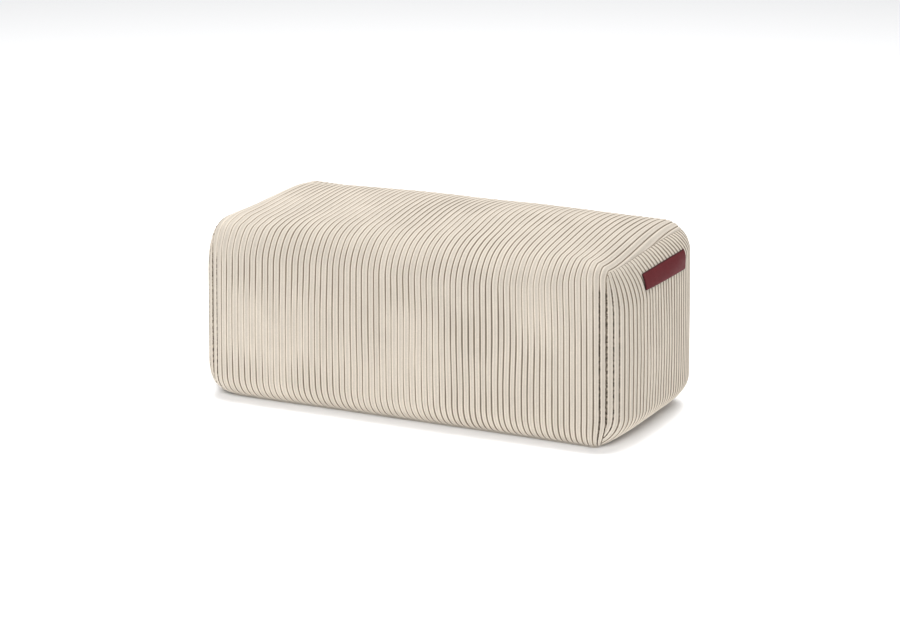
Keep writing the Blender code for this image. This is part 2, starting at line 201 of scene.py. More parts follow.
# The label, on the right end near its top seam.
LABEL_BACK = 0.084
LABEL_FRONT = -0.066
LABEL_HEIGHT = 0.2366      # floor to its middle
LABEL_TILT = -0.0012       # how much higher its back end lies than its middle
LABEL_HALF = 0.0121        # half its own height
LABEL_SLANT = 0.0035       # how far its top edge lies further back than its middle
LABEL_FLARE = 0.12         # it is cut a little taller towards the back
LABEL_THICKNESS = 0.0016
LABEL_ROLL = 0.0014        # width of its rounded edge
LABEL_ROLL_LOSS = 0.45     # share of its thickness lost there
LABEL_DENT = 0.0003        # its unevenness: how deep and how long
LABEL_DENT_SIZE = 0.018
LABEL_DENT_SEED = 41
LABEL_STEPS = 90
LABEL_ROWS = 16

SEAM_X = HALF_LENGTH - END_FULLNESS - END_RISE
SEAM_START = SEAM_X - END_ROUND * math.sin(SEAM_ANGLE)
SEAM_ARC = END_ROUND * SEAM_ANGLE

# Camera, at the photograph's angle, on a sensor 36 mm wide.
CAMERA_AZIMUTH = math.radians(25.75)
CAMERA_ELEVATION = math.radians(15.27)
CAMERA_DISTANCE = 4.6474
CAMERA_LENS = 123.54
CAMERA_TARGET = (0.0, 0.0, 0.1489)
CAMERA_STEP_RIGHT = 0.0031
CAMERA_STEP_UP = -0.0058

# Colours of the finishes.
CORD_CROWN = (0.62, 0.556, 0.473)
# The flanks are painted lighter than the crown: a painted highlight.
FLANK_HIGHLIGHT = (0.77, 0.695, 0.598)
# The groove: the ground weave's browner colour, deepening into painted shade at its bottom.
GROOVE_GROUND_AND_SHADE = (0.46, 0.385, 0.30)
GROOVE_SHADE = (0.26, 0.215, 0.165)
# Painted shade, nearly black, in the gaps where the cords pull apart at a seam.
GAP_SHADE_COLOUR = (0.055, 0.04, 0.028)
BASE_CLOTH = (0.78, 0.72, 0.64)
BASE_CLOTH_DIM = 0.82      # share of that colour in its dimmer patches
LEATHER = (0.165, 0.026, 0.031)
LEATHER_DIM = 0.72
LEATHER_EDGE = (0.045, 0.010, 0.012)
FLOOR = (0.93, 0.93, 0.935)

# The corduroy's pattern.
CORD_COLOUR_AND_SHADING = (             # colour at each share of the way from a crest to its groove: cream crown, flanks with a painted highlight, then the ground weave's brown deepening into painted shade
    (0.0, CORD_CROWN),
    (0.25, CORD_CROWN),
    (0.55, FLANK_HIGHLIGHT),
    (0.76, FLANK_HIGHLIGHT),
    (0.88, GROOVE_GROUND_AND_SHADE),
    (0.98, GROOVE_SHADE),
)
WIDENING = 0.12            # by how much of that way the grooves' colour and painted shade reach further where widened
GAP_FROM, GAP_FULL = 0.74, 0.88  # where on that way the painted gap shade starts and is full
STREAK = (7.3, 14.0)       # steps of the noise from cord to cord and to a metre of cord
DOTS = (3.7, 200.0)        # the same for the dots, at the stitches, into which the painted gap shade is broken
DOTS_FROM, DOTS_FULL = 0.42, 0.56  # noise at which a dot starts and is full
DOTS_LOW = 0.1             # how strong the painted gap shade is between them
STREAK_SPREAD, BLOTCH_SPREAD, TUFT_SPREAD = 0.16, 0.14, 0.22
BLOTCH_SCALE, TUFT_SCALE, FUZZ_SCALE = 16.0, 520.0, 900.0
PILE_BUMP = (0.6, 0.0006)  # strength and height of the bumps of each finish

# The base cloth's and the leather's.
PATCH_SCALE, WEAVE_SCALE = 60.0, 320.0
WEAVE_BUMP = (0.35, 0.0003)
LEATHER_PATCH_SCALE, GRAIN_SCALE = 90.0, 1100.0
GRAIN_BUMP = (0.5, 0.0004)

# The studio: strength of the surround, and each light's place, sides, power and colour.
SURROUND = 0.32
FLOOR_REACH = 14.0
AIM_HEIGHT = 0.15          # the lights are turned to this height over the floor's middle
LIGHTS = {
    "key": ((-2.4, -2.2, 2.0), (1.6, 1.6), 31.5, (1.0, 1.0, 1.0)),
    "overhead": ((0.0, 0.3, 3.0), (2.5, 2.5), 86.0, (1.0, 1.0, 1.0)),
    "floor_wash": ((8.8, -18.9, 12.0), (8.0, 8.0), 5300.0, (0.97, 0.985, 1.0)),
    "floor_above": ((0.0, 0.0, 5.0), (0.7, 4.5), 95.0, (1.0, 0.99, 0.975)),
}


# ---- Form ------------------------------------------------------------------------------


def smooth_step(value):
    """S-curve from 0 to 1: three squares less two cubes of the clipped value."""
    value = np.clip(value, 0, 1)
    return value * value * (3 - 2 * value)


def soft_noise(points, size, seed):
    """Smooth noise from -1 to 1: seeded random values on the corners of cubes of this
    size, blended across each cube with an s-curve along each axis."""
    side = 64
    lattice = np.random.default_rng(seed).uniform(-1, 1, (side, side, side))
    place = points / size + side / 2
    cell = np.floor(place).astype(int)
    share = smooth_step(place - cell)
    total = np.zeros(points.shape[:-1])
    for corner in itertools.product((0, 1), repeat=3):
        weight = np.prod(np.where(np.array(corner) == 1, share, 1 - share), axis=-1)
        index = (cell + corner) % side
        total += weight * lattice[index[..., 0], index[..., 1], index[..., 2]]
    return total


def unit_normals(grid):
    """Cross product of a grid's differences across and along, made one long."""
    normals = np.cross(np.gradient(grid, axis=0), np.gradient(grid, axis=1))
    return normals / np.linalg.norm(normals, axis=-1, keepdims=True)


def arc_lengths(line):
    """Length of a line of points from its start to each point."""
    pieces = np.linalg.norm(np.diff(line, axis=0), axis=-1)
    return np.concatenate([[0], np.cumsum(pieces)])


def cord_height(position, flatness, roundness):
    """Height of a cord over its groove, 0 to 1, at a position counted in wales: one less a
    power of the distance from the crest, as a share of half a wale, and a root of that."""
    off_crest = np.abs(2 * (position % 1) - 1)
    return (1 - off_crest**flatness) ** roundness


def cord_positions(wales):
    """Positions of the columns of points, in wales: eight to a wale, closest in its groove."""
    return np.append(np.add.outer(np.arange(wales), CORD_COLUMNS).ravel(), wales)


def uneven(position, wales, seed):
    """Moves each groove a little off its even place, but not the first and the last."""
    stray = np.random.default_rng(seed).uniform(-CORD_UNEVEN, CORD_UNEVEN, wales + 1)
    stray[[0, -1]] = 0
    grooves = np.arange(wales + 1)
    return position + np.interp(position, grooves, stray)


def outline_half(step, half_depth, height, top_round, foot_round):
    """Half depth and height at a step: 0-1 foot arc, 1-2 face, 2-3 top edge arc, 3-4 top."""
    foot = BASE_SEAM_ANGLE * (1 - np.clip(step, 0, 1))
    face = np.clip(step - 1, 0, 1)
    edge = np.clip(step - 2, 0, 1) * math.pi / 2
    top = np.clip(step - 3, 0, 1)
    y = half_depth - foot_round * (1 - np.cos(foot))
    y = (y - top_round * (1 - np.cos(edge))) * (1 - top)
    ankle = BASE_SEAM_HEIGHT + foot_round * math.sin(BASE_SEAM_ANGLE)
    z = ankle - foot_round * np.sin(foot)
    z = z + face * (height - top_round - ankle) + top_round * np.sin(edge)
    return y, z


def outline_steps():
    """Steps of a half outline, from the base seam to the middle of the top."""
    foot, face, edge, top = (np.linspace(0, 1, count + 1)[:-1] for count in ROWS)
    return np.concatenate([foot**FOOT_CROWDING, 1 + face, 2 + edge, 3 + top, [4]])


def wrap_crests(across, steps):
    """The wrap over the crests of its cords, [across, along, xyz]. Past SEAM_START every
    outline shrinks by the drop of the end rounding, and towards the seams its top and foot
    edges tighten to the radius that the seam gives them, less tight at the back."""
    run = np.abs(across) * (SEAM_START + SEAM_ARC)
    turn = np.clip((run - SEAM_START) / END_ROUND, 0, SEAM_ANGLE)
    x = np.sign(across) * (np.minimum(run, SEAM_START) + END_ROUND * np.sin(turn))
    drop = END_ROUND * (1 - np.cos(turn))
    fall = END_TOP_ROUND * (1 - np.cos(turn))
    loose = 1 - across**EDGE_HOLD
    corner_round = np.where(steps > 4, BACK_CORNER_ROUND, FRONT_CORNER_ROUND)
    top_round = corner_round + (TOP_ROUND - corner_round) * loose
    foot_round = FOOT_ROUND_AT_SEAM + (FOOT_ROUND - FOOT_ROUND_AT_SEAM) * loose
    y, z = outline_half(
        np.minimum(steps, 8 - steps), HALF_DEPTH - drop, EDGE_HEIGHT - fall, top_round, foot_round
    )
    return np.stack(np.broadcast_arrays(x, np.sign(steps - 4) * y, z), axis=-1)


def skew(steps):
    """Drift of the cords at the right end's seam, in wales: an s-curve from the front to
    the back."""
    start, length = SKEW_STEPS
    return SKEW_AT_FRONT + (SKEW - SKEW_AT_FRONT) * smooth_step((steps - start) / length)


def skewed(position, steps):
    """Places of the cords across the wrap, in wales: each is moved to the left by the drift
    times a power of its share of the way to the right end, where extra cords come out of
    the seam as far as the drift leaves them room."""
    inside = np.minimum(position, WRAP_WALES)
    place = inside - skew(steps) * (inside / WRAP_WALES) ** SKEW_REACH
    extra = np.maximum(position - WRAP_WALES, 0)
    room = skew(steps) - HIDDEN_STEP * (EXTRA_WALES - extra)
    return place + np.minimum(extra, room)


def wrap_grid():
    """Points of the wrap with its cords, the position of each in wales, its place across the
    wrap, its place along the cord in metres, and its distance from the base seam. A point is
    the crest less the groove's depth, or the seam's, along the normal."""
    position = cord_positions(WRAP_WALES + EXTRA_WALES)[:, None]
    half = outline_steps()
    steps = np.concatenate([half, 8 - half[-2::-1]])[None, :]
    middle = wrap_crests(np.zeros((1, 1)), steps)[0]
    along = arc_lengths(middle)[None, :]
    even = 2 * position / position.max() - 1
    field = np.stack(np.broadcast_arrays(even * HALF_LENGTH, along - along.max() / 2, 0.0), -1)
    sway = CORD_SWAY * soft_noise(field, SWAY_SIZE, SWAY_SEED)
    strayed = uneven(position, WRAP_WALES + EXTRA_WALES, WRAP_SEED)
    place = skewed(strayed, steps)
    place = place + sway * (1 - np.abs(2 * place / WRAP_WALES - 1) ** SWAY_HOLD)
    even = 2 * place / WRAP_WALES - 1
    crests = wrap_crests(even + WALE_DRIFT * (1 - even**2), steps)
    from_base = np.minimum(along, along.max() - along)
    pinch = 1 - smooth_step(from_base / BASE_SEAM_REACH)
    groove = 1 - cord_height(position, CORD_FLATNESS, CORD_ROUNDNESS)
    sink = CORD_DEPTH * groove * (1 - pinch) + BASE_SEAM_DIP * pinch
    upright = smooth_step(np.abs(steps - 4) - UPRIGHT_STEPS)
    seam_depth = SEAM_DEPTH_ON_TOP + (SEAM_DEPTH - SEAM_DEPTH_ON_TOP) * upright
    from_seam = np.minimum(place, WRAP_WALES - place)
    lip = 1 - smooth_step(from_seam / SEAM_LIP)
    sink = sink + (seam_depth - sink) * lip
    points = crests - sink[..., None] * unit_normals(crests)
    points[[0, -1], :, 0] = points[[0, -1], :, 0].mean(axis=1, keepdims=True)
    shown = np.minimum(position, WRAP_WALES + skew(steps))
    return points, shown, place, along, from_base


def fill_out(points):
    """Pushes the plain block out as the filling does. Upwards: the crown's fall along the
    length times its section across, a tilt to the back, soft waves, and the corners' lifts
    and drop, which are powers of the way to the corner, all times the square of the height's
    share. Sideways: half a sine wave of the height on each face, less the drawn-in foot."""
    x, y, z = np.moveaxis(points, -1, 0)
    rise = np.clip(z / EDGE_HEIGHT, 0, 1)
    middle = 1 - np.clip(np.abs(x) / SEAM_X, 0, 1) ** END_HOLD
    depth = np.clip(1 - (y / HALF_DEPTH) ** 2, 0, 1)
    upright = np.sin(math.pi * rise)
    at_end = (np.abs(x) / HALF_LENGTH) ** END_HOLD
    low = np.clip(1 - z / FOOT_DRAW_HEIGHT, 0, 1) ** 2
    far = np.abs(x - CROWN_PEAK) / (SEAM_X + np.where(x < CROWN_PEAK, 1, -1) * CROWN_PEAK)
    at_seam = np.where(x < CROWN_PEAK, *CROWN_AT_SEAM)
    fall = np.clip(far, 0, 1) ** np.where(x < CROWN_PEAK, *CROWN_REACH)
    box = CROWN_BOX[1] + (CROWN_BOX[0] - CROWN_BOX[1]) * np.clip(-x / SEAM_X / BOX_FROM, 0, 1)
    section = 1 - np.clip(np.abs(y) / HALF_DEPTH, 0, 1) ** box
    tilt = CROWN_TILT * (1 - TILT_LOSS * np.clip(x / SEAM_X, 0, 1) ** TILT_REACH)
    crown = (CROWN + (at_seam - CROWN) * fall) * section + tilt * depth * y / HALF_DEPTH
    (along, along_start), (over, over_start) = LUMP_TOP_WAVES
    lumps = LUMP_TOP * np.sin(along * x + along_start) * np.sin(over * y + over_start)
    crown = crown + lumps
    right, left = np.clip(x / SEAM_X, 0, 1), np.clip(-x / SEAM_X, 0, 1)
    ahead = np.clip(-y / HALF_DEPTH, 0, 1)
    corner = CORNER_LIFT * (right * ahead) ** CORNER_REACH
    lift_share = np.clip(1 - y / HALF_DEPTH, 0, 2) ** LEFT_LIFT_REACH[1]
    corner = corner + LEFT_LIFT * left ** LEFT_LIFT_REACH[0] * lift_share
    corner = corner - LEFT_DROP * left ** LEFT_DROP_REACH[0] * ahead ** LEFT_DROP_REACH[1]
    side_wave = np.sin(LUMP_SIDE_WAVE[0] * x + LUMP_SIDE_WAVE[1])
    front = FRONT_FULLNESS * middle + LUMP_SIDE * side_wave * middle
    push_y = front * upright * np.clip(np.abs(y) / HALF_DEPTH, 0, 1)
    turn = LEFT_FOOT_TURN * low * left**LEFT_FOOT_REACH * ahead
    hold = 1 - np.where(x < 0, *FOOT_CORNER_HOLD) * np.clip(y / HALF_DEPTH, -1, 1) ** 2
    push_x = END_FULLNESS * np.sqrt(upright) * depth - FOOT_DRAW_IN * low * hold
    pinch = FOOT_PINCH * low * np.clip(1 - (SEAM_X - x) / FOOT_PINCH_REACH, 0, 1) ** 2
    return np.stack(
        [
            x * (1 + SPREAD * (SPREAD_LEVEL - rise)) + np.sign(x) * push_x * at_end - pinch,
            y + np.sign(y) * push_y + turn,
            z + (crown + corner) * rise**2,
        ],
        axis=-1,
    )


def soft_folds(points, hold):
    """Moves a grid of points along its normals by layers of soft noise, less where the
    seams hold it."""
    lift = sum(height * soft_noise(points, size, seed) for size, height, seed in SOFT_FOLDS)
    return points + (lift * hold)[..., None] * unit_normals(points)


# ---- Meshes ----------------------------------------------------------------------------


def grid_quads(columns, rows):
    """Quads of a grid of points numbered row by row within each column."""
    column, row = np.meshgrid(np.arange(columns - 1), np.arange(rows - 1), indexing="ij")
    near = column * rows + row
    return np.stack([near, near + rows, near + rows + 1, near + 1], axis=-1).reshape(-1, 4)


def tube_quads(columns, rows):
    """Quads of a tube: columns follow each other along it and rows go round it."""
    column, row = np.meshgrid(np.arange(columns - 1), np.arange(rows), indexing="ij")
    near = column * rows
    after = (row + 1) % rows
    quads = np.stack([near + row, near + rows + row, near + rows + after, near + after], -1)
    return quads.reshape(-1, 4)


def loop_quads(outer, inner):
    """Quads between two loops of point numbers of the same length."""
    return np.stack([outer, np.roll(outer, -1), np.roll(inner, -1), inner], axis=-1)


def fan(loop, centre):
    """Triangles from a loop of point numbers to one point."""
    return np.stack([loop, np.roll(loop, -1), np.full(len(loop), centre)], axis=-1)


def sheet_faces(columns, rows):
    """Quads of a closed sheet between an outer and an inner grid of the same shape."""
    quads = grid_quads(columns, rows)
    shift = columns * rows
    left = np.arange(rows)
    low = np.arange(columns) * rows
    rim = np.concatenate(
        [low[:-1], left[:-1] + low[-1], (low + rows - 1)[:0:-1], left[:0:-1]]
    )
    after = np.roll(rim, -1)
    walls = np.stack([rim, rim + shift, after + shift, after], axis=-1)
    return [quads, quads[:, ::-1] + shift, walls]


def make_piece(name, points, faces, material):
    """A piece from an array of points and a list of arrays of faces, on the one body."""
    mesh = bpy.data.meshes.new(name)
    every = [face for block in faces for face in block.tolist()]
    mesh.from_pydata(points.tolist(), [], every)
    mesh.shade_smooth()
    mesh.materials.append(material)
    piece = bpy.data.objects.new(name, mesh)
    bpy.context.scene.collection.objects.link(piece)
    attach(piece, "root")
    return piece


def lay_pattern(piece, across, along, gaps):
    """Gives a piece its pattern map, across its cords in wales and along them in metres,
    and its attributes of painted shade: how dark the gaps are drawn and how far the grooves'
    shade widens, from 0 to 1 at each point."""
    mesh = piece.data
    corners = np.empty(len(mesh.loops), dtype=np.int32)
    mesh.loops.foreach_get("vertex_index", corners)
    pattern = mesh.uv_layers.new(name="cords")
    pattern.data.foreach_set("uv", np.stack([across, along], -1)[corners].ravel())
    for name, values in gaps.items():
        attribute = mesh.attributes.new(name, "FLOAT", "POINT")
        attribute.data.foreach_set("value", values.astype(np.float32))


# ---- Materials -------------------------------------------------------------------------


def new_material(name, roughness):
    """A material with its own shader, and its tree."""
    material = bpy.data.materials.new(name)
    material.use_nodes = True
    shader = material.node_tree.nodes["Principled BSDF"]
    shader.inputs["Roughness"].default_value = roughness
    return material, material.node_tree, shader


def add(tree, kind, wires=(), **settings):
    """A node with its settings, and its input sockets wired or given values."""
    node = tree.nodes.new(kind)
    for key, value in settings.items():
        setattr(node, key, value)
    for socket, source in dict(wires).items():
        if isinstance(source, bpy.types.NodeSocket):
            tree.links.new(source, node.inputs[socket])
        else:
            node.inputs[socket].default_value = source
    return node


def sums(tree, operation, *values):
    """The result of a Math node."""
    return add(tree, "ShaderNodeMath", enumerate(values), operation=operation).outputs[0]


def blend(tree, share, first, second):
    """Two colours blended by a share."""
    wires = {0: share, 6: first, 7: second}
    return add(tree, "ShaderNodeMix", wires, data_type="RGBA").outputs[2]


def noise(tree, place, scale, detail):
    """Fine noise at a place, from 0 to 1."""
    wires = {"Vector": place, "Scale": scale, "Detail": detail}
    return add(tree, "ShaderNodeTexNoise", wires).outputs[0]


def noise_along(tree, wale, run, steps):
    """Noise along a cord, another on each: its place is the cord's number times one step
    and the run along the cord times the other."""
    wires = {0: sums(tree, "MULTIPLY", wale, steps[0]), 1: sums(tree, "MULTIPLY", run, steps[1])}
    place = add(tree, "ShaderNodeCombineXYZ", wires).outputs[0]
    return add(tree, "ShaderNodeTexNoise", {"Vector": place, "Scale": 1.0}).outputs[0]


def tone_of(tree, source, spread):
    """A tone round 1: noise from 0 to 1 times a spread, and one less half of that."""
    return sums(tree, "MULTIPLY_ADD", source, spread, 1 - spread / 2)


def bumped(tree, shader, height, strength, distance):
    """Bumps the shader's normal by a height."""
    wires = {"Strength": strength, "Distance": distance, "Height": height}
    bump = add(tree, "ShaderNodeBump", wires)
    tree.links.new(bump.outputs[0], shader.inputs["Normal"])


def colours_along(tree, source, stops):
    """A colour ramp with stops of place and colour."""
    ramp = add(tree, "ShaderNodeValToRGB", {0: source})
    bar = ramp.color_ramp
    while len(bar.elements) < len(stops):
        bar.elements.new(0.5)
    for element, (place, colour) in zip(bar.elements, stops):
        element.position = place
        element.color = (*colour, 1.0)
    return ramp.outputs[0]


def corduroy():
    """Cream pile cords: a painted highlight on the flank on each side of the crown, a groove of
    the ground weave's brown deepening into painted shade, painted shade in dots where the cords
    pull apart at a seam, small tufts across the cord, and a soft sheen. The colour follows the
    share of the way from the crest to the groove: one less twice the distance from the groove,
    as a share of a wale."""
    material, tree, shader = new_material("cream_corduroy", 0.92)
    shader.inputs["Specular IOR Level"].default_value = 0.15
    shader.inputs["Sheen Weight"].default_value = 0.25
    shader.inputs["Sheen Roughness"].default_value = 0.45
    shader.inputs["Sheen Tint"].default_value = (1.0, 0.95, 0.88, 1.0)
    place = add(tree, "ShaderNodeTexCoord").outputs["Object"]
    pattern = add(tree, "ShaderNodeUVMap", uv_map="cords").outputs[0]
    split = add(tree, "ShaderNodeSeparateXYZ", {0: pattern})
    across, run = split.outputs[0], split.outputs[1]
    phase = sums(tree, "FRACT", across)
    wale = sums(tree, "FLOOR", across)
    off_crest = sums(tree, "ABSOLUTE", sums(tree, "MULTIPLY_ADD", phase, 2.0, -1.0))
    # Attributes of painted shade: the dark in the gaps at the seams, and how far the grooves'
    # shade widens.
    gap_shade = add(tree, "ShaderNodeAttribute", attribute_name="gap_shade").outputs["Fac"]
    groove_shade_width = add(tree, "ShaderNodeAttribute", attribute_name="groove_shade_width").outputs["Fac"]
    widened = sums(tree, "MULTIPLY_ADD", groove_shade_width, WIDENING, off_crest)
    colour = colours_along(tree, widened, CORD_COLOUR_AND_SHADING)
    streak = noise_along(tree, wale, run, STREAK)
    blotch = noise(tree, place, BLOTCH_SCALE, 3.0)
    tufts = noise(tree, place, TUFT_SCALE, 2.0)
    tone = tone_of(tree, streak, STREAK_SPREAD)
    tone = sums(tree, "MULTIPLY", tone, tone_of(tree, blotch, BLOTCH_SPREAD))
    tone = sums(tree, "MULTIPLY", tone, tone_of(tree, tufts, TUFT_SPREAD))
    toned = add(tree, "ShaderNodeVectorMath", {0: colour, 1: tone}, operation="MULTIPLY")
    dots = noise_along(tree, wale, run, DOTS)
    wires = {0: dots, 1: DOTS_FROM, 2: DOTS_FULL, 3: DOTS_LOW, 4: 1.0}
    dots = add(tree, "ShaderNodeMapRange", wires).outputs[0]
    # Painted shade in the gaps, full deep in the groove and broken into dots.
    wires = {0: widened, 1: GAP_FROM, 2: GAP_FULL}
    in_groove = add(tree, "ShaderNodeMapRange", wires, interpolation_type="SMOOTHSTEP")
    dark = sums(tree, "MULTIPLY", in_groove.outputs[0], gap_shade)
    dark = sums(tree, "MULTIPLY", dark, dots)
    final = blend(tree, dark, toned.outputs[0], (*GAP_SHADE_COLOUR, 1.0))
    tree.links.new(final, shader.inputs["Base Color"])
    fuzz = sums(tree, "MULTIPLY", noise(tree, place, FUZZ_SCALE, 3.0), 0.5)
    bumped(tree, shader, sums(tree, "ADD", tufts, fuzz), *PILE_BUMP)
    return material


def base_cloth():
    """Plain tight base cloth: a fine weave of two crossed waves and a little unevenness."""
    material, tree, shader = new_material("plain_base_cloth", 0.95)
    shader.inputs["Specular IOR Level"].default_value = 0.2
    place = add(tree, "ShaderNodeTexCoord").outputs["Object"]
    dim = tuple(BASE_CLOTH_DIM * channel for channel in BASE_CLOTH)
    colour = blend(tree, noise(tree, place, PATCH_SCALE, 3.0), (*dim, 1.0), (*BASE_CLOTH, 1.0))
    tree.links.new(colour, shader.inputs["Base Color"])
    wires = {"Vector": place, "Scale": WEAVE_SCALE, "Distortion": 0.6}
    weave = [
        add(tree, "ShaderNodeTexWave", wires, bands_direction=direction).outputs[1]
        for direction in ("X", "Y")
    ]
    bumped(tree, shader, sums(tree, "ADD", *weave), *WEAVE_BUMP)
    return material


def leather():
    """Burgundy leather: a fine pebbled grain of cells and soft patches, darker along its
    rounded edges."""
    material, tree, shader = new_material("burgundy_leather", 0.6)
    shader.inputs["Specular IOR Level"].default_value = 0.12
    place = add(tree, "ShaderNodeTexCoord").outputs["Object"]
    dim = tuple(LEATHER_DIM * channel for channel in LEATHER)
    patches = noise(tree, place, LEATHER_PATCH_SCALE, 4.0)
    face = blend(tree, patches, (*dim, 1.0), (*LEATHER, 1.0))
    cut = add(tree, "ShaderNodeAttribute", attribute_name="cut_edge").outputs["Fac"]
    colour = blend(tree, cut, face, (*LEATHER_EDGE, 1.0))
    tree.links.new(colour, shader.inputs["Base Color"])
    grain = add(tree, "ShaderNodeTexVoronoi", {"Vector": place, "Scale": GRAIN_SCALE})
    bumped(tree, shader, grain.outputs["Distance"], *GRAIN_BUMP)
    return material


# ---- Pieces ----------------------------------------------------------------------------


def groove_shade_share(from_seam, beyond=0.0):
    """How far the grooves' painted shade widens: narrowed at the seam itself, wide by a bell
    curve at the groove next to it, and beyond that as given."""
    near = np.exp(-(((from_seam - 1) / NEXT_WIDTH) ** 2))
    return np.where(from_seam < 0.5, SEAM_CLOSE, beyond + (OPEN_NEXT - beyond) * near)


def gap_shade_share(from_seam, reach, z):
    """How dark the painted shade is in the gaping grooves: a flat-topped bell curve of the
    distance from the seam, in wales, which fades out below the top."""
    top, fade = GAPE_BELOW
    return np.exp(-((from_seam / reach) ** 4)) * smooth_step((top - z) / fade)


def wrap_groove_shade(wrap, from_seam):
    """How far the wrap's painted groove shade widens at each point: its upright seams' share,
    and shares that fade in by s-curves over the top, at the foot and to the right, less a bell
    curve of the distance from the seams over the top."""
    x, z = wrap[..., 0], wrap[..., 2]
    upright = smooth_step((GAPE_BELOW[0] - z) / GAPE_BELOW[1])
    share = groove_shade_share(from_seam) * upright
    share = share + OPEN_ON_TOP * smooth_step((z - ON_TOP[0]) / ON_TOP[1])
    share = share + OPEN_AT_FOOT * smooth_step((AT_FOOT[0] - z) / AT_FOOT[1])
    share = share + OPEN_TO_RIGHT * smooth_step(x / TO_RIGHT)
    return share - OPEN_LOSS * np.exp(-((from_seam / LOSS_REACH) ** 2)) * (1 - upright)


def underside(wrap):
    """Six points that close each ring under the stool: in from both base seams and up to a
    low ceiling, which rises to the hollow's height near the ends."""
    front = wrap[:, 0]
    half = np.abs(front[:, 1])
    hollow = front[:, 2] + UNDERSIDE_RISE
    near_end = np.clip(1 - (SEAM_X - np.abs(front[:, 0])) / UNDERSIDE_INSET, 0, 1)
    under = UNDERSIDE_HEIGHT + (hollow - UNDERSIDE_HEIGHT) * near_end
    inner, flat = half - HOLLOW_INSET, half - UNDERSIDE_INSET
    stations = (
        (inner, hollow),
        (flat, under),
        (flat / 3, under),
        (-flat / 3, under),
        (-flat, under),
        (-inner, hollow),
    )
    x = wrap[:, -1, 0] * UNDERSIDE_SHARE
    return np.stack([np.stack([x, y, z], axis=-1) for y, z in stations], axis=1)


def ease_edges(points, hold):
    """Lowers the front and back top edges by a bell curve of the distance from each edge,
    less where the seams hold the cloth and at the right end."""
    x, y, z = np.moveaxis(points, -1, 0)
    ease = np.exp(-(((np.abs(y) - EDGE_PLACE) / EDGE_WIDTH) ** 2)) * hold
    ease = ease * smooth_step((EASE_TO[0] - x) / EASE_TO[1])
    points[..., 2] -= EDGE_EASE * ease * smooth_step((z - EASE_ABOVE[0]) / EASE_ABOVE[1])
    return points


def end_dome(ring, side, edge, first):
    """Points and faces of a low dome on an end ring: loops that shrink to its middle and
    step out along the length, and a fan to its tip. Its edge is a loop of point numbers,
    and its own points are numbered from the first."""
    points, faces = [], []
    centre = np.array((0.0, 0.0, CAP_CENTRE_HEIGHT))
    for share, step in CAP_LOOPS:
        loop = centre + (ring - centre) * (1, share, share)
        loop[:, 0] = ring[:, 0] + side * step
        points.append(fill_out(loop))
        inner = first + np.arange(len(ring))
        faces.append(loop_quads(edge, inner))
        edge = inner
        first += len(ring)
    tip = np.array([(ring[0, 0] + side * CAP_CENTRE_STEP, 0.0, CAP_CENTRE_HEIGHT)])
    points.append(fill_out(tip))
    faces.append(fan(edge, first))
    if side > 0:
        faces = [block[:, ::-1] for block in faces]
    return np.concatenate(points), faces


def over_all(values, rings, used, count):
    """Values of the first points of every ring, one for each point of the piece: nought on
    a ring's other points and on the domes."""
    grid = np.zeros(rings)
    grid[:, :used] = values
    return np.append(grid.ravel(), np.zeros(count - grid.size))


def wrap_cover(material):
    """The filled, wrapped body: the wrap's rings as a tube, closed underneath, with a low
    dome behind each end cover. Returns it and the wrap's grid of points."""
    wrap, position, place, along, from_base = wrap_grid()
    closing = underside(wrap)
    from_seam = np.minimum(place, WRAP_WALES - place)
    inward = from_seam / WRAP_WALES * 2 * HALF_LENGTH
    hold = smooth_step(inward / FOLD_MARGIN) * smooth_step(from_base / FOLD_MARGIN)
    filled = ease_edges(soft_folds(fill_out(wrap), hold), hold)
    rings = np.concatenate([filled, fill_out(closing)], axis=1)
    columns, rows = rings.shape[:2]
    points = [rings.reshape(-1, 3)]
    faces = [tube_quads(columns, rows)]
    count = columns * rows
    plain = np.concatenate([wrap, closing], axis=1)
    for side, column in ((-1, 0), (1, columns - 1)):
        edge = column * rows + np.arange(rows)
        dome, dome_faces = end_dome(plain[column], side, edge, count)
        points.append(dome)
        faces += dome_faces
        count += len(dome)
    cover = make_piece("wrap_cover", np.concatenate(points), faces, material)
    # Painted shade: how dark the gaps at the upright seams are drawn, and how far the grooves'
    # shade widens.
    gap_shade = gap_shade_share(from_seam, GAPE_REACH, wrap[..., 2])
    wide = wrap_groove_shade(wrap, from_seam)
    across, length, gap_shade, wide = (
        over_all(values, (columns, rows), wrap.shape[1], count)
        for values in (position, along, gap_shade, wide)
    )
    lay_pattern(cover, across, length, {"gap_shade": gap_shade, "groove_shade_width": wide})
    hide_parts("filled_body")
    return cover, wrap


def rounding(inset, radius, start):
    """Share of a rounding reached at this inset from its seam, which lies at angle start: the
    sine at the inset over the sine at the seam, as a share of what is left to one."""
    cosine = np.clip(math.cos(start) - inset / radius, 0, 1)
    return (np.sqrt(1 - cosine**2) - math.sin(start)) / (1 - math.sin(start))


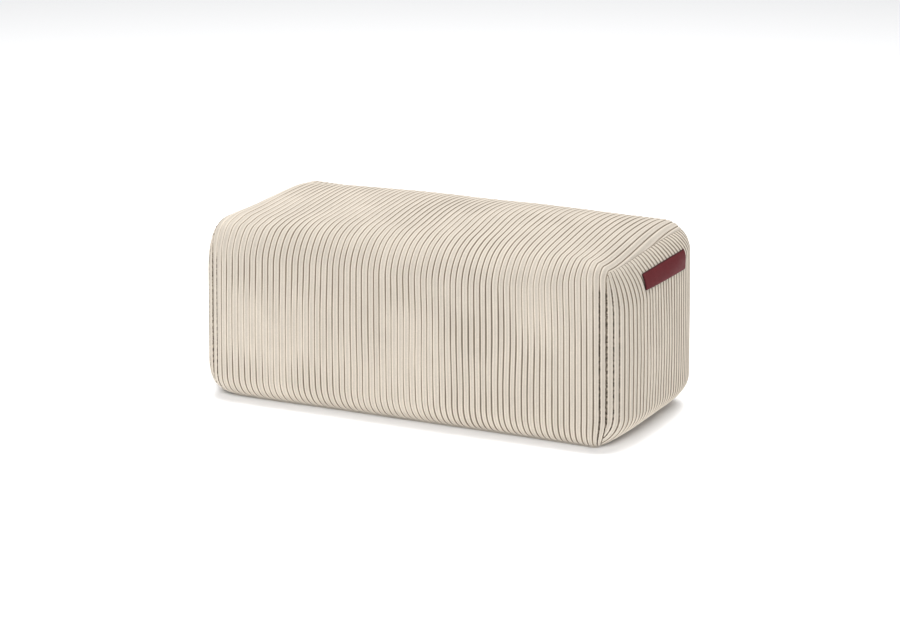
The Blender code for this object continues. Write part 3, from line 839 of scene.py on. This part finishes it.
class EndOpening:
    """The seam round an end, read off the wrap's last ring: its plane, its half depth and
    the heights of the seam above and below each depth."""

    def __init__(self, ring):
        half = ring[: len(ring) // 2 + 1]
        widest = int(np.argmin(half[:, 1]))
        self.x = half[widest, 0]
        self.half = -half[:, 1].min()
        self.under = half[: ROWS[0] + 1]
        face = ROWS[0] + ROWS[1]
        self.over = ring[face : len(ring) - face]

    def top(self, y):
        """Height of the top seam at these depths, between the points it is read from."""
        return np.interp(y, self.over[:, 1], self.over[:, 2])

    def bottom(self, y):
        """Height of the base seam at these depths, the same in front and behind."""
        return np.interp(np.abs(y), -self.under[:, 1], self.under[:, 2], left=self.under[0, 2])

    def rise(self, y, z):
        """How far the end stands out of its seams' plane: the product of a quick swelling
        from both sides and the roundings from the top and from the foot."""
        inward = np.clip((self.half - np.abs(y)) / END_SIDE_REACH, 0, 1)
        sides = (1 - (1 - inward) ** 2) ** END_SIDE_POWER
        backward = smooth_step(0.5 + y / (2 * self.half))
        radius = END_TOP_ROUND + (END_BACK_ROUND - END_TOP_ROUND) * backward
        head = rounding(self.top(y) - z, radius, SEAM_ANGLE)
        foot = rounding(z - self.bottom(y), FOOT_ROUND, math.pi / 2 - BASE_SEAM_ANGLE)
        return END_RISE * sides * head * foot

    def even_depths(self, shares):
        """Depths at these shares of the way over the end's rounded face, whose length is
        added up over fine steps."""
        fine = np.linspace(-self.half, self.half, FINE_STEPS)
        face = self.rise(fine, np.full_like(fine, CAP_CENTRE_HEIGHT))
        length = arc_lengths(np.stack([fine, face], axis=-1))
        return np.interp(shares * length[-1], length, fine)


def end_rows():
    """Shares of the height of an end's rows: even steps, mixed with half a cosine wave that
    crowds them towards both seams."""
    even = np.linspace(0, 1, END_ROW_COUNT)
    crowded = 0.5 - 0.5 * np.cos(math.pi * even)
    return END_ROW_CROWDING * crowded + (1 - END_ROW_CROWDING) * even


def end_cover(side, opening, material):
    """An end cover: upright cords from the base seam to a smooth strip at the top seam. Its
    outer face is the end's rise less the grooves' depth along the normal, and its inner face
    lies a cloth's thickness below the grooves. The left cover is the right one's mirror
    image, before the filling pushes it out."""
    position = cord_positions(END_WALES)[:, None]
    y = opening.even_depths(uneven(position, END_WALES, END_SEED + side) / END_WALES)
    bottom, top = opening.bottom(y), opening.top(y)
    z = bottom + (top - bottom) * end_rows()
    y, z = np.broadcast_arrays(y, z)
    plane = opening.x + PIECE_GAP
    rise = opening.rise(y, z)
    crests = np.stack([plane + rise + SEAM_EDGE, y, z], axis=-1)
    below_top, above_base = top - z, z - bottom
    reach = smooth_step((below_top - END_STRIP) / END_STRIP_FADE)
    reach = reach * smooth_step(above_base / BASE_SEAM_REACH)
    inside = np.minimum(position, END_WALES - position) >= 0.5
    groove = 1 - cord_height(position, END_CORD_FLATNESS, END_CORD_ROUNDNESS)
    sink = END_CORD_DEPTH * groove * reach * inside
    outer = crests - sink[..., None] * unit_normals(crests)
    outer[..., 0] = np.maximum(outer[..., 0], plane + SEAM_EDGE)
    outer[:, [0, -1]] = crests[:, [0, -1]]
    inner_x = np.maximum(plane, plane + rise - CORD_DEPTH - CLOTH_THICKNESS)
    inner = np.stack([inner_x, y, z], axis=-1)
    held = np.minimum(np.minimum(below_top, above_base), opening.half - np.abs(y))
    if side < 0:
        outer, inner = outer[::-1] * (-1, 1, 1), inner[::-1] * (-1, 1, 1)
        y, z, held = y[::-1], z[::-1], held[::-1]
    outer, inner = fill_out(outer), fill_out(inner)
    outer = soft_folds(outer, smooth_step(held / FOLD_MARGIN))
    points = np.concatenate([outer.reshape(-1, 3), inner.reshape(-1, 3)])
    name = "end_cover_right" if side > 0 else "end_cover_left"
    cover = make_piece(name, points, sheet_faces(*y.shape), material)
    across = np.broadcast_to(position, y.shape)
    near_seam = np.minimum(across, END_WALES - across)
    # Painted shade: how dark the gaps at the seams are drawn, and how far the grooves' shade
    # widens.
    gap_shade = gap_shade_share(near_seam, END_GAPE_REACH, z)
    backward = smooth_step((y - TO_BACK[0]) / TO_BACK[1])
    wide = groove_shade_share(near_seam, OPEN_END) + OPEN_TO_BACK * backward
    across, length, gap_shade, wide = (np.tile(grid.ravel(), 2) for grid in (across, z, gap_shade, wide))
    lay_pattern(cover, across, length, {"gap_shade": gap_shade, "groove_shade_width": wide})
    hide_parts("end_panel_right" if side > 0 else "end_panel_left")
    return cover


def base_cover(wrap, material):
    """The base cloth: a shallow dish whose rolled, slightly puckered edge meets the
    corduroy at the seam. Its outline, read off the wrap, is shrunk and lowered loop by loop
    to a flat, once for its outer face and once, a thickness higher, for its inner one."""
    side = wrap[::BASE_EVERY, 0, :2]
    half = -side[-1, 1]
    steps = np.linspace(-half, half, BASE_END_STEPS + 1)[1:-1]
    end = np.stack([np.full_like(steps, side[-1, 0]), steps], axis=-1)
    outline = np.concatenate([side, end, -side, -end])
    reach = np.abs(outline).max(axis=0)
    loops = []
    for lift in (0.0, BASE_THICKNESS):
        for inset, height in BASE_PROFILE:
            ring = outline * (1 - (inset + lift) / reach)
            loops.append(np.column_stack([ring, np.full(len(ring), height + lift)]))
        inset = BASE_PROFILE[-1][0] + lift
        for share in BASE_FLAT_LOOPS:
            ring = outline * (1 - inset / reach) * share
            loops.append(np.column_stack([ring, np.full(len(ring), lift)]))
    count = len(outline)
    levels = len(BASE_PROFILE) + len(BASE_FLAT_LOOPS)
    numbers = [np.arange(k * count, (k + 1) * count) for k in range(2 * levels)]
    outer, inner = numbers[:levels], numbers[levels:]
    faces = []
    for k in range(levels - 1):
        faces.append(loop_quads(outer[k], outer[k + 1])[:, ::-1])
        faces.append(loop_quads(inner[k], inner[k + 1]))
    faces.append(loop_quads(outer[0], inner[0]))
    total = 2 * levels * count
    faces.append(fan(outer[-1], total)[:, ::-1])
    faces.append(fan(inner[-1], total + 1))
    points = np.concatenate([*loops, [(0, 0, 0), (0, 0, BASE_THICKNESS)]])
    points = fill_out(points)
    roll = smooth_step(points[:, 2] / PUCKER_HEIGHT) * BASE_PUCKER
    pucker = soft_noise(points, PUCKER_SIZE, PUCKER_SEED) * roll
    points[:, :2] *= 1 + (pucker / np.linalg.norm(points[:, :2] + 1e-6, axis=1))[:, None]
    cover = make_piece("base_cover", points, faces, material)
    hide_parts("base_panel")
    return cover


def label_leather(opening, material):
    """The bare label: a leather strip on the crests of the right end's cords. It is thinner
    by the square of the way into its rounded edge, and a little soft noise dents it."""
    u = np.linspace(-1, 1, LABEL_STEPS + 1)[:, None]
    v = np.linspace(-1, 1, LABEL_ROWS + 1)[None, :]
    y = (LABEL_BACK + LABEL_FRONT) / 2 + u * (LABEL_BACK - LABEL_FRONT) / 2 + v * LABEL_SLANT
    z = LABEL_HEIGHT + u * LABEL_TILT + v * LABEL_HALF * (1 + LABEL_FLARE * u)
    y, z = np.broadcast_arrays(y, z)
    inner_x = opening.x + opening.rise(y, z) + SEAM_EDGE + 2 * PIECE_GAP
    width = (LABEL_BACK - LABEL_FRONT) / 2
    from_edge = np.minimum((1 - np.abs(u)) * width, (1 - np.abs(v)) * LABEL_HALF)
    roll = np.clip(1 - from_edge / LABEL_ROLL, 0, 1) ** 2
    outer_x = inner_x + LABEL_THICKNESS * (1 - LABEL_ROLL_LOSS * roll)
    outer = fill_out(np.stack([outer_x, y, z], axis=-1))
    inner = fill_out(np.stack([inner_x, y, z], axis=-1))
    dent = LABEL_DENT * soft_noise(outer, LABEL_DENT_SIZE, LABEL_DENT_SEED)
    outer[..., 0] += dent
    inner[..., 0] += dent
    points = np.concatenate([outer.reshape(-1, 3), inner.reshape(-1, 3)])
    strip = make_piece("label_leather", points, sheet_faces(*y.shape), material)
    cut = strip.data.attributes.new("cut_edge", "FLOAT", "POINT")
    edge = np.concatenate([roll.ravel(), np.ones(roll.size)])
    cut.data.foreach_set("value", edge.astype(np.float32))
    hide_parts("label")
    return strip


# ---- Studio ----------------------------------------------------------------------------


def place_camera():
    """A long lens to the front right, looking slightly down."""
    data = bpy.data.cameras.new("camera")
    data.sensor_width = 36.0
    data.lens = CAMERA_LENS
    camera = bpy.data.objects.new("camera", data)
    azimuth, elevation = CAMERA_AZIMUTH, CAMERA_ELEVATION
    back = np.array(
        (
            math.sin(azimuth) * math.cos(elevation),
            -math.cos(azimuth) * math.cos(elevation),
            math.sin(elevation),
        )
    )
    right = np.array((math.cos(azimuth), math.sin(azimuth), 0.0))
    up = np.cross(back, right)
    place = np.array(CAMERA_TARGET) + back * CAMERA_DISTANCE
    camera.location = place + right * CAMERA_STEP_RIGHT + up * CAMERA_STEP_UP
    camera.rotation_euler = (math.pi / 2 - elevation, 0.0, azimuth)
    data.clip_end = 100.0
    bpy.context.scene.collection.objects.link(camera)
    bpy.context.scene.camera = camera


def lay_floor():
    """A wide, pale, matt floor."""
    material, _, shader = new_material("pale_floor", 1.0)
    shader.inputs["Base Color"].default_value = (*FLOOR, 1.0)
    shader.inputs["Specular IOR Level"].default_value = 0.0
    mesh = bpy.data.meshes.new("floor")
    turns = ((-1, -1), (1, -1), (1, 1), (-1, 1))
    corners = [(x * FLOOR_REACH, y * FLOOR_REACH, 0) for x, y in turns]
    mesh.from_pydata(corners, [], [(0, 1, 2, 3)])
    mesh.materials.append(material)
    floor = bpy.data.objects.new("floor", mesh)
    bpy.context.scene.collection.objects.link(floor)
    return floor


def hang_light(name):
    """A flat soft light from the table of lights, turned to the middle of the stool."""
    place, sides, power, colour = LIGHTS[name]
    data = bpy.data.lights.new(name, "AREA")
    data.shape = "RECTANGLE"
    data.size, data.size_y = sides
    data.energy = power
    data.color = colour
    light = bpy.data.objects.new(name, data)
    light.location = place
    x, y, z = place[0], place[1], place[2] - AIM_HEIGHT
    light.rotation_euler = (math.atan2(math.hypot(x, y), z), 0.0, math.atan2(y, x) + math.pi / 2)
    bpy.context.scene.collection.objects.link(light)
    return light


def receivers(light, name, objects):
    """Lets a light reach these objects alone."""
    group = bpy.data.collections.new(name)
    for piece in objects:
        group.objects.link(piece)
    light.light_linking.receiver_collection = group


def light_studio(floor, pieces):
    """An even pale surround, a soft key from the front left for the stool alone, a soft
    light overhead for all, and two for the floor alone: a wide wash from the camera's side
    and a narrow one from above."""
    world = bpy.data.worlds.new("surround")
    world.use_nodes = True
    background = world.node_tree.nodes["Background"]
    background.inputs["Color"].default_value = (1.0, 1.0, 1.0, 1.0)
    background.inputs["Strength"].default_value = SURROUND
    bpy.context.scene.world = world
    key, _, wash, above = (hang_light(name) for name in LIGHTS)
    receivers(wash, "floor_alone", [floor])
    receivers(above, "floor_alone_too", [floor])
    receivers(key, "stool_alone", pieces)
    bpy.context.scene.view_settings.view_transform = "Standard"


def main():
    place_camera()
    cloth = corduroy()
    body, wrap = wrap_cover(cloth)
    opening = EndOpening(wrap[-1])
    pieces = [
        body,
        end_cover(1, opening, cloth),
        end_cover(-1, opening, cloth),
        base_cover(wrap, base_cloth()),
        label_leather(opening, leather()),
    ]
    light_studio(lay_floor(), pieces)


main()
